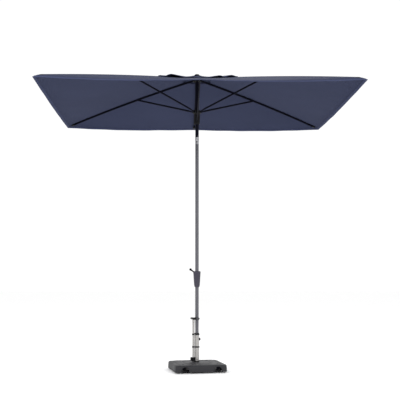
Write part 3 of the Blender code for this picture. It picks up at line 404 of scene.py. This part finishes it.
def lathe(bm, profile, matrix, steps=32):
    """Closed turned solid round local Z.

    The profile's (radius, height) points run from axis to axis, or close on themselves.
    """
    rings = []
    for r, z in profile:
        if r < 1e-6:
            rings.append([bm.verts.new(matrix @ Vector((0, 0, z)))])
            continue
        turn = [2 * pi * i / steps for i in range(steps)]
        rings.append([bm.verts.new(matrix @ Vector((r * cos(a), r * sin(a), z))) for a in turn])
    closed = profile[0][0] > 1e-6
    pairs = list(zip(rings, rings[1:]))
    if closed:
        pairs.append((rings[-1], rings[0]))
    for first, second in pairs:
        for i in range(steps):
            j = (i + 1) % steps
            if len(first) == 1:
                bm.faces.new((first[0], second[j], second[i]))
            elif len(second) == 1:
                bm.faces.new((first[i], first[j], second[0]))
            else:
                bm.faces.new((first[i], first[j], second[j], second[i]))


def swept(bm, path, section):
    """Closed solid: a section of (side, up) points carried along a path of (spot, side, up)."""
    rings = []
    for spot, side, up in path:
        rings.append([bm.verts.new(spot + side * a + up * b) for a, b in section])
    count = len(section)
    for first, second in zip(rings, rings[1:]):
        for i in range(count):
            j = (i + 1) % count
            bm.faces.new((first[i], first[j], second[j], second[i]))
    bm.faces.new(rings[0][::-1])
    bm.faces.new(rings[-1])


def facing_out(bm):
    bmesh.ops.recalc_face_normals(bm, faces=bm.faces)
    return bm


# ---- Canopy ----

SAG = 0.012
UNEVEN = 0.0016
PULL_FROM = 0.8
EDGE_PULL = 0.007
EDGE_WAVE = 0.0012
EDGE_WAVES = 9
CAP_LIFT = 0.0060
CAP_TENT = 0.0215
MID_SHARE = (MID_PIVOT[0] - PIVOT_R) / (HALF_Y - PIVOT_R)
MID_DROP = HUB_Z - MID_TIP_Z
MID_BOW = (HUB_Z - MID_PIVOT[1] - MID_DROP * MID_SHARE) / (MID_SHARE * (MID_SHARE - 1))


def rib_point(name, share):
    """Point on a rib's axis, a share of the way from its hub pivot to the canopy's edge."""
    angle = RIBS[name]
    if name.endswith("mid"):
        r = PIVOT_R + share * (HALF_Y - PIVOT_R)
        z = HUB_Z - MID_DROP * share - MID_BOW * share * (share - 1)
    else:
        r = PIVOT_R + share * (CORNER_REACH - PIVOT_R)
        z = HUB_Z - (HUB_Z - CORNER_TIP_Z) * share + CORNER_BOW * share * (1 - share)
    return Vector((r * cos(angle), r * sin(angle), z))


def smooth(x):
    x = max(0.0, min(1.0, x))
    return x * x * (3 - 2 * x)


def ripple(x, y):
    """Small fixed unevenness of the cloth, about one unit either way."""
    long_wave = 0.5 * sin(7.1 * x + 3.3 * y + 0.7)
    short_wave = 0.3 * sin(13.7 * x - 9.1 * y + 2.1)
    return long_wave + short_wave + 0.2 * sin(21.0 * y + 5.0 * x)


def gore_point(first, second, share, v):
    """Point of the canopy's lower face between two ribs, v from 0 on the first to 1 on the second."""
    a, b = rib_point(first, share), rib_point(second, share)
    spot = a.lerp(b, v)
    middle = sin(pi * v)
    span = (b - a).length
    spot.z += RISE - SAG * middle * smooth(share / 0.4) * (0.4 + 0.6 * span)
    spot.z += UNEVEN * ripple(spot.x, spot.y) * middle
    if share > PULL_FROM:
        pull = smooth((share - PULL_FROM) / (1 - PULL_FROM))
        centre = Vector((0, 0, spot.z))
        spot += (centre - spot).normalized() * EDGE_PULL * middle * pull
        tug = sin(pi * min(1.0, v * 2)) + sin(pi * max(0.0, v * 2 - 1))
        spot.z += EDGE_WAVE * tug * pull * sin(EDGE_WAVES * pi * v)
    if share > RIB_SHARE:
        ends = [MID_HEM_DROP if rib.endswith("mid") else CORNER_HEM_DROP for rib in (first, second)]
        drop = ends[0] + (ends[1] - ends[0]) * v
        spot.z -= drop * ((share - RIB_SHARE) / (1 - RIB_SHARE)) ** 1.3
    return spot


def rise_and_fall(v, start, peak, end):
    """Smooth arch that stands between its start and its end."""
    if v <= start or v >= end:
        return 0.0
    return smooth((v - start) / (peak - start)) if v < peak else smooth((end - v) / (end - peak))


# Arches of the vent cap's hem in each gore: start, peak and end across it, and height
CAP_ARCHES = {
    ("near_left", "near_mid"): (
        (0.00, 0.05, 0.13, 0.005),
        (0.14, 0.32, 0.66, 0.019),
        (0.70, 0.84, 1.00, 0.004),
    ),
    ("near_mid", "near_right"): (
        (0.02, 0.14, 0.28, 0.003),
        (0.29, 0.55, 0.67, 0.012),
        (0.67, 0.84, 0.99, 0.013),
    ),
    ("near_right", "far_right"): ((0.03, 0.24, 0.48, 0.013), (0.46, 0.70, 0.97, 0.016)),
    ("far_right", "far_mid"): ((0.04, 0.36, 0.72, 0.016), (0.70, 0.84, 0.98, 0.007)),
    ("far_mid", "far_left"): ((0.05, 0.30, 0.52, 0.011), (0.50, 0.72, 0.96, 0.014)),
    ("far_left", "near_left"): ((0.03, 0.30, 0.60, 0.015), (0.58, 0.78, 0.97, 0.011)),
}


def cap_point(first, second, share, v):
    """The same for the vent cap: tented at the centre, with a hem that arches up between the ribs."""
    a, b = rib_point(first, share), rib_point(second, share)
    spot = a.lerp(b, v)
    reach = max(0.0, min(1.0, share / CAP_SHARE))
    arches = sum(height * rise_and_fall(v, *where) for *where, height in CAP_ARCHES[(first, second)])
    spot.z += RISE + CAP_LIFT + CAP_TENT * exp(-(share + 0.008) / 0.05) + arches * reach**2.2
    spot.z += 0.0010 * ripple(3 * spot.x, 3 * spot.y) * sin(pi * v) * reach
    return spot


CLOTH = 0.0009
EDGE_ROLL = 0.0010
CAP_HEM = 0.012


def half_gore(name, rib, other, point, inner, outer, rows, columns, hem):
    """Half of the cloth between two ribs, from its own rib to the gore's middle line.

    Gives the piece, its sheet's area, its reach to the side of the rib, and its length with the hem.
    The hem is turned under: the sheet's last rows roll round its edge and run back below it.
    """
    forward = ORDER[(ORDER.index(rib) + 1) % 6] == other
    angle = RIBS[rib]
    sideways = Vector((-sin(angle), cos(angle), 0))

    def at(share, k):
        v = 0.5 * k / columns
        return point(rib, other, share, v) if forward else point(other, rib, share, 1 - v)

    def crosswise(spot):
        return abs((spot - Vector((0, 0, spot.z))).dot(sideways))

    bm = bmesh.new()
    layer = bm.loops.layers.uv.new("cloth")
    grid = []
    tip = rib_point(rib, outer)
    reach = (tip - rib_point(rib, inner)).length
    for i in range(rows + 1):
        share = inner + (outer - inner) * (i / rows) ** 0.9
        row = []
        for k in range(columns + 1):
            spot = at(share, k)
            inward = (1 - (share - inner) / (outer - inner)) * reach
            row.append((bm.verts.new(spot), crosswise(spot), inward))
        grid.append(row)
    roll = []
    for step in range(1, 6):
        roll.append((EDGE_ROLL * sin(pi * step / 6), -EDGE_ROLL * (1 - cos(pi * step / 6))))
    for step in range(1, 4):
        roll.append((-hem * step / 3, -2 * EDGE_ROLL + EDGE_ROLL * 0.4 * step / 3))
    for out, down in roll:
        row = []
        for k in range(columns + 1):
            edge, back = at(outer, k), at(outer - 0.02, k)
            way = (edge - back).normalized()
            side = (at(outer, min(k + 1, columns)) - at(outer, max(k - 1, 0))).normalized()
            normal = side.cross(way).normalized()
            if normal.z < 0:
                normal = -normal
            spot = edge + way * out + normal * down
            row.append((bm.verts.new(spot), crosswise(spot), max(0.0, -out)))
        grid.append(row)
    for first, second in zip(grid, grid[1:]):
        for k in range(columns):
            corners = [first[k], first[k + 1], second[k + 1], second[k]]
            face = bm.faces.new([c[0] for c in corners])
            for loop, (_, across, inward) in zip(face.loops, corners):
                loop[layer].uv = (across, inward)
    bm.normal_update()
    bm.faces.ensure_lookup_table()
    if bm.faces[0].normal.z < 0:
        bmesh.ops.reverse_faces(bm, faces=bm.faces)
    flat = sum(f.calc_area() for f in bm.faces)
    mesh = bpy.data.meshes.new(name)
    bm.to_mesh(mesh)
    bm.free()
    obj = bpy.data.objects.new(name, mesh)
    bpy.context.scene.collection.objects.link(obj)
    thick = obj.modifiers.new("cloth", "SOLIDIFY")
    thick.thickness = CLOTH
    thick.offset = 1.0
    obj = applied(obj)
    obj.data.shade_smooth()
    obj.data.set_sharp_from_angle(angle=radians(50))
    obj.data.materials.append(LOOKS["slate_fabric"])
    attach(obj, f"rib_{rib}")
    half_width = max(crosswise(v.co) for v in obj.data.vertices)
    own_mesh(obj)
    return obj, flat, half_width, reach + hem


def applied(obj):
    """The object with its modifiers made final."""
    bpy.context.view_layer.update()
    graph = bpy.context.evaluated_depsgraph_get()
    mesh = bpy.data.meshes.new_from_object(obj.evaluated_get(graph))
    obj.modifiers.clear()
    obj.data = mesh
    return obj


# Flat sizes are measured on the shaped pieces themselves
for index, rib in enumerate(ORDER):
    for step in (1, -1):
        other = ORDER[(index + step) % 6]
        side = "after" if step == 1 else "before"
        panel, flat, wide, long = half_gore(
            f"canopy_half_{rib}_{side}", rib, other, gore_point,
            inner=VENT_SHARE, outer=1.0, rows=32, columns=14, hem=HEM,
        )
        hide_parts("canopy")
        cap, flat, wide, long = half_gore(
            f"vent_cap_half_{rib}_{side}", rib, other, cap_point,
            inner=0.0, outer=CAP_SHARE, rows=14, columns=20, hem=CAP_HEM,
        )
        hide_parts("vent_cap")

# Tapes over the seams, pockets for the rib tips, and the patch at the crown

TAPE_HALF = 0.0065
TAPE = 0.0009


def seam_tape(name, rib, point, inner, outer, steps):
    """Folded strip sewn over a rib's seam. It follows the slope of the cloth on both sides."""
    after, before = ORDER[(ORDER.index(rib) + 1) % 6], ORDER[(ORDER.index(rib) - 1) % 6]
    bm = bmesh.new()
    layer = bm.loops.layers.uv.new("cloth")
    rings = []
    for i in range(steps + 1):
        share = inner + (outer - inner) * i / steps
        span = (rib_point(rib, share) - rib_point(after, share)).length
        left = point(rib, after, share, TAPE_HALF / span)
        centre = point(rib, after, share, 0.0)
        span = (rib_point(rib, share) - rib_point(before, share)).length
        right = point(before, rib, share, 1 - TAPE_HALF / span)
        low = Vector((0, 0, CLOTH + 0.0001))
        high = Vector((0, 0, CLOTH + TAPE))
        line = [left + low, centre + low, right + low]
        line += [right + high * 0.96, centre + high * 1.2, left + high * 0.96]
        rings.append([bm.verts.new(spot) for spot in line])
    length = (rib_point(rib, outer) - rib_point(rib, inner)).length
    for i, (first, second) in enumerate(zip(rings, rings[1:])):
        for k in range(6):
            face = bm.faces.new((first[k], first[(k + 1) % 6], second[(k + 1) % 6], second[k]))
            across = (TAPE_HALF, 0.0, TAPE_HALF, TAPE_HALF, 0.0, TAPE_HALF)
            for loop, (column, row) in zip(face.loops, ((k, i), (k + 1, i), (k + 1, i + 1), (k, i + 1))):
                loop[layer].uv = (across[column % 6], 0.05 + length * (1 - row / steps))
    bm.faces.new(rings[0][::-1])
    bm.faces.new(rings[-1])
    return piece(name, facing_out(bm), "slate_fabric", f"rib_{rib}")


POCKET_OUTER = 0.0091
POCKET_INNER = 0.0081


def tip_pocket(name, rib):
    """Sewn sling under the canopy that holds the rib's tip."""
    tip, back = rib_point(rib, RIB_SHARE + 0.003), rib_point(rib, RIB_SHARE - 0.04)
    along = (tip - back).normalized()
    side = Vector((-sin(RIBS[rib]), cos(RIBS[rib]), 0))
    up = along.cross(side).normalized()
    if up.z < 0:
        up = -up
    outer, inner = [], []
    for i in range(9):
        angle = pi + pi * i / 8
        outer.append((POCKET_OUTER * cos(angle), POCKET_OUTER * sin(angle)))
        inner.append((POCKET_INNER * cos(angle), POCKET_INNER * sin(angle)))
    section = [(-0.0120, 0.0079), (-POCKET_OUTER, 0.0071)] + outer
    section += [(POCKET_OUTER, 0.0071), (0.0120, 0.0079), (0.0112, 0.0085), (POCKET_INNER, 0.0079)]
    section += inner[::-1] + [(-POCKET_INNER, 0.0079), (-0.0112, 0.0085)]
    bm = bmesh.new()
    path = [(tip - along * back_off, side, up) for back_off in (0.040, 0.036, 0.024, 0.012, 0.0045)]
    swept(bm, path, section)
    return piece(name, facing_out(bm), "black_plastic", f"rib_{rib}")


for rib in ORDER:
    seam_tape(
        f"canopy_seam_tape_{rib}", rib, gore_point, inner=VENT_SHARE + 0.002, outer=0.993, steps=26
    )
    seam_tape(
        f"vent_cap_seam_tape_{rib}", rib, cap_point, inner=0.012, outer=CAP_SHARE - 0.003, steps=12
    )
    tip_pocket(f"rib_tip_pocket_{rib}", rib)

crown = bmesh.new()
crown_profile = [(0.0075, 0.0372), (0.0175, 0.0371), (0.0270, 0.0350), (0.0400, 0.0310)]
crown_profile += [(0.0515, 0.0270), (0.0528, 0.0275), (0.0524, 0.0285), (0.0405, 0.0325)]
crown_profile += [(0.0275, 0.0365), (0.0180, 0.0386), (0.0075, 0.0388)]
lathe(crown, crown_profile, Matrix.Translation((0, 0, HUB_Z)), 48)
crown_uv = crown.loops.layers.uv.new("cloth")
for face in crown.faces:
    for loop in face.loops:
        loop[crown_uv].uv = (0.1 + loop.vert.co.x, 0.1 + loop.vert.co.y)
piece("vent_crown_patch", facing_out(crown), "slate_fabric", "upper_mast")


# ---- Base ----

BASE = Matrix.Rotation(BASE_YAW, 4, "Z")
BASE_HALF = 0.217
ARCH_X = 0.137
ARCH_Z = 0.022
ARCH_R = 0.031
LIP_START = -0.36
LIP_SUNK = 0.0012
TURN = BASE.to_3x3()


def based(x, y, z):
    return BASE @ Vector((x, y, z))


def fender_lip(name, end, side):
    """Half-round lip moulded round a wheel arch."""
    path = []
    for i in range(25):
        angle = LIP_START + (pi - 2 * LIP_START) * i / 24
        out = Vector((cos(angle), 0, sin(angle)))
        spot = Vector((end * ARCH_X, side * (BASE_HALF - LIP_SUNK), ARCH_Z)) + out * ARCH_R
        path.append((BASE @ spot, TURN @ out, TURN @ Vector((0, side, 0))))
    section = [(0.0004, 0.0), (0.0004, 0.0030), (0.0014, 0.0042)]
    section += [(0.0030, 0.0042), (0.0042, 0.0030), (0.0046, 0.0)]
    bm = bmesh.new()
    swept(bm, path, section)
    return piece(name, facing_out(bm), "base_grey_plastic", "base")


for side_name, side in (("near", -1), ("far", 1)):
    for end_name, end in (("left", -1), ("right", 1)):
        fender_lip(f"fender_lip_{side_name}_{end_name}", end, side)


def square_ridge(name, half, corner, foot, height, width):
    """Low moulded ridge that runs round the base's top."""
    path = []
    for sx, sy, start in ((1, 1, 0), (-1, 1, pi / 2), (-1, -1, pi), (1, -1, 1.5 * pi)):
        for i in range(7):
            angle = start + pi / 2 * i / 6
            out = Vector((cos(angle), sin(angle), 0))
            path.append((Vector((sx * (half - corner), sy * (half - corner), 0)) + out * corner, out))
    section = [(-width / 2, -0.004), (-width / 3, height), (width / 3, height), (width / 2, -0.004)]
    bm = bmesh.new()
    rings = []
    for spot, out in path:
        rings.append([bm.verts.new(BASE @ (spot + out * a + Vector((0, 0, foot + b)))) for a, b in section])
    for i, first in enumerate(rings):
        second = rings[(i + 1) % len(rings)]
        for k in range(4):
            bm.faces.new((first[k], first[(k + 1) % 4], second[(k + 1) % 4], second[k]))
    return piece(name, facing_out(bm), "base_grey_plastic", "base")


square_ridge("base_outer_ridge", half=0.178, corner=0.034, foot=0.0681, height=0.0022, width=0.007)
square_ridge("base_inner_ridge", half=0.112, corner=0.040, foot=0.0709, height=0.0020, width=0.006)


def socket_screw(bm, matrix, radius, height):
    """Dome-headed screw with a round socket, standing on the matrix's XY plane."""
    r, h = radius, height
    profile = [(0.0, 0.35 * h), (0.38 * r, 0.35 * h), (0.40 * r, 0.94 * h), (0.62 * r, h)]
    profile += [(0.90 * r, 0.72 * h), (r, 0.25 * h), (r, -0.5 * h), (0.0, -0.5 * h)]
    lathe(bm, profile, matrix, 20)


def hex_bolt(bm, matrix, radius, height):
    """Washer and chamfered hexagon head."""
    washer = [(0.0, 0.18 * height), (1.15 * radius, 0.18 * height), (1.15 * radius, 0.0), (0.0, 0.0)]
    lathe(bm, washer, matrix, 24)
    corners = []
    for level, share in ((0.19, 1.0), (0.85, 1.0), (1.0, 0.86)):
        ring = []
        for i in range(6):
            a = pi / 3 * i
            corner = Vector((radius * share * cos(a), radius * share * sin(a), level * height))
            ring.append(bm.verts.new(matrix @ corner))
        corners.append(ring)
    for first, second in zip(corners, corners[1:]):
        for i in range(6):
            bm.faces.new((first[i], first[(i + 1) % 6], second[(i + 1) % 6], second[i]))
    bm.faces.new(corners[0][::-1])
    bm.faces.new(corners[-1])


def facing(spot, direction):
    """Matrix whose origin is a spot and whose Z looks along a direction."""
    return Matrix.Translation(spot) @ Vector(direction).to_track_quat("Z", "Y").to_matrix().to_4x4()


COVER_SCREW_AT = 0.145
COVER_SCREW_Z = 0.0691
cover_screws = bmesh.new()
for x in (-COVER_SCREW_AT, COVER_SCREW_AT):
    for y in (-COVER_SCREW_AT, COVER_SCREW_AT):
        upright = facing(based(x, y, COVER_SCREW_Z), (0, 0, 1))
        socket_screw(cover_screws, upright, radius=0.0055, height=0.0022)
piece("base_cover_screws", facing_out(cover_screws), "near_black_paint", "base")

STRAP_HEIGHTS = (0.198, 0.303)
STRAP_BOLT_X = -0.0198
STRAP_HALF = 0.0091
turned_y = TURN @ Vector((0, 1, 0))
strap_bolts = bmesh.new()
for z in STRAP_HEIGHTS:
    for side in (-1, 1):
        outward = facing(based(STRAP_BOLT_X, side * STRAP_HALF, z), turned_y * side)
        hex_bolt(strap_bolts, outward, radius=0.0036, height=0.0030)
piece("strap_bolts", facing_out(strap_bolts), "bare_steel", "base")

GRIP_HALF_X = 0.01615
GRIP_MID_X = -0.00125
GRIP_LOW = 0.42695
GRIP_HIGH = 0.44345
GRIP_ROUND = 0.0065
RIDGE_STEP = 0.012
RIDGE_SECTION = ((-0.0019, -0.0008), (-0.0009, 0.0007), (0.0009, 0.0007), (0.0019, -0.0008))
grip = bmesh.new()
half_z = (GRIP_HIGH - GRIP_LOW) / 2 - GRIP_ROUND
for i in range(7):
    y = RIDGE_STEP * (i - 3)
    ring = []
    for quarter in range(4):
        for step in range(5):
            a = pi / 2 * quarter + pi / 2 * step / 4
            cx = GRIP_MID_X + (GRIP_HALF_X - GRIP_ROUND) * (1 if quarter in (0, 3) else -1)
            cz = (GRIP_LOW + GRIP_HIGH) / 2 + half_z * (1 if quarter in (0, 1) else -1)
            ring.append((cx, cz, cos(a), sin(a)))
    loops = []
    for dy, out in RIDGE_SECTION:
        round_r = GRIP_ROUND + out
        spots = [based(cx + round_r * ca, y + dy, cz + round_r * sa) for cx, cz, ca, sa in ring]
        loops.append([grip.verts.new(spot) for spot in spots])
    for first, second in zip(loops, loops[1:] + loops[:1]):
        for k in range(len(ring)):
            j = (k + 1) % len(ring)
            grip.faces.new((first[k], first[j], second[j], second[k]))
piece("handle_grip_ridges", facing_out(grip), "black_plastic", "handle")


# ---- Castors ----

TRAIL = 0.018
WHEEL_R = 0.025
NUT_AT = 0.0115
SPOKE_SECTION = [(-1.0, 0.0), (-1.0, 0.0016), (-0.6, 0.0022), (0.6, 0.0022), (1.0, 0.0016), (1.0, 0.0)]
CASTOR_X = 0.155
CASTOR_Y = 0.165
# Stem's place, the way its wheel trails, and whether it has a brake
CASTORS = {
    "near_left": (-CASTOR_X, -CASTOR_Y, 1, True),
    "near_right": (CASTOR_X, -CASTOR_Y, -1, False),
    "far_left": (-CASTOR_X, CASTOR_Y, 1, False),
    "far_right": (CASTOR_X, CASTOR_Y, -1, True),
}
for where, (x, y, way, braked) in CASTORS.items():
    centre = based(x + way * TRAIL, y, WHEEL_R)
    nuts = bmesh.new()
    # A brake lever's pivot takes the place of the second nut
    for side in (way,) if braked else (way, -way):
        outward = facing(centre + turned_y * side * NUT_AT, turned_y * side)
        hex_bolt(nuts, outward, radius=0.0042, height=0.0026)
    piece(f"castor_axle_nuts_{where}", facing_out(nuts), "near_black_paint", f"castor_{where}")
    spokes = bmesh.new()
    for side in (-1, 1):
        for i in range(5):
            a = 2 * pi * i / 5
            out = TURN @ Vector((cos(a), 0, sin(a)))
            cross = TURN @ Vector((-sin(a), 0, cos(a)))
            path = []
            for r, half in ((0.0092, 0.0013), (0.0135, 0.0010), (0.0176, 0.0014)):
                path.append((centre + out * r + turned_y * side * 0.0055, cross * half, turned_y * side))
            swept(spokes, path, SPOKE_SECTION)
    piece(f"castor_wheel_spokes_{where}", facing_out(spokes), "black_plastic", f"wheel_{where}")


# Wells inside the arches, round each castor's sweep and open towards its arch
WELL_R = 0.0475
WELL_OPEN = radians(70)
WELL_SECTION = [(-0.0006, 0.0125), (-0.0006, 0.0490), (0.0022, 0.0512)]
WELL_SECTION += [(0.0034, 0.0506), (0.0006, 0.0482), (0.0006, 0.0125)]
for where, (x, y, _, _) in CASTORS.items():
    well = bmesh.new()
    toward = pi / 2 if y > 0 else -pi / 2
    path = []
    for i in range(25):
        angle = toward + WELL_OPEN + (2 * pi - 2 * WELL_OPEN) * i / 24
        out = Vector((cos(angle), sin(angle), 0))
        turned_out = TURN @ out
        path.append((based(x, y, 0) + turned_out * WELL_R, turned_out, Vector((0, 0, 1))))
    swept(well, path, WELL_SECTION)
    piece(f"wheel_well_{where}", facing_out(well), "base_grey_plastic", "base")


# ---- Crank housing and tilt joint ----

housing_screws = bmesh.new()
for x, y, z in ((0.0215, 0.0392, 0.822), (0.0190, 0.0316, 0.728)):
    for side in (-1, 1):
        outward = facing((side * x, y, z), (side * x * 4, 0.12, 0))
        socket_screw(housing_screws, outward, radius=0.0030, height=0.0012)
piece("housing_screws", facing_out(housing_screws), "bare_steel", "mast")

bezel = bmesh.new()
lathe(
    bezel,
    [(0.0046, 0.0166), (0.0050, 0.0169), (0.0058, 0.0167), (0.0062, 0.0148), (0.0046, 0.0148)],
    facing((0, 0, BUTTON_Z), (0, -1, 0)),
    28,
)
piece("tilt_button_bezel", facing_out(bezel), "black_plastic", "mast")

arm_nut = bmesh.new()
hex_bolt(arm_nut, facing((0, 0.0481, CRANK_Z), (0, 1, 0)), radius=0.0048, height=0.0030)
piece("crank_arm_nut", facing_out(arm_nut), "bare_steel", "crank")
